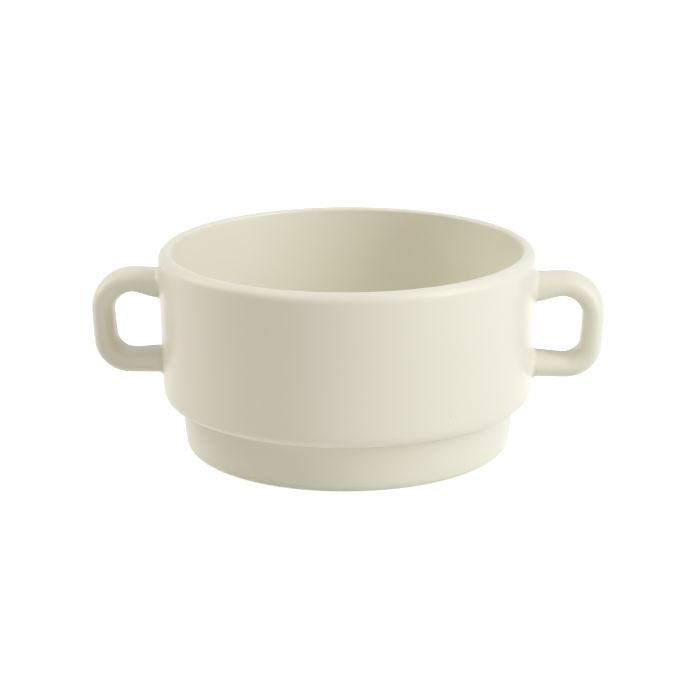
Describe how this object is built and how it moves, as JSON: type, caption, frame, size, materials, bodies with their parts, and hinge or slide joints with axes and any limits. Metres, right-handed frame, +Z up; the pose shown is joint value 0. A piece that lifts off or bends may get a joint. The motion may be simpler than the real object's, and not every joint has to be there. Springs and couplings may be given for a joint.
{
  "type": "lug soup bowl",
  "caption": "Round stacking soup bowl in ivory glazed china, with a stepped foot and a looped lug handle on each side.",
  "frame": {"origin": "centre of the foot ring, on the surface that the bowl stands on", "axes": "+Z up along the bowl's axis, +X towards the right lug handle, +Y towards the back of the bowl"},
  "size_m": [0.1414, 0.1038, 0.056],
  "materials": {
    "ivory_glaze": "satin"
  },
  "bodies": {
    "root": {"bowl_body": "ivory_glaze", "left_lug_handle": "ivory_glaze", "right_lug_handle": "ivory_glaze", "left_upper_slip_joint": "ivory_glaze", "left_lower_slip_joint": "ivory_glaze", "right_upper_slip_joint": "ivory_glaze", "right_lower_slip_joint": "ivory_glaze"}
  },
  "joints": []
}
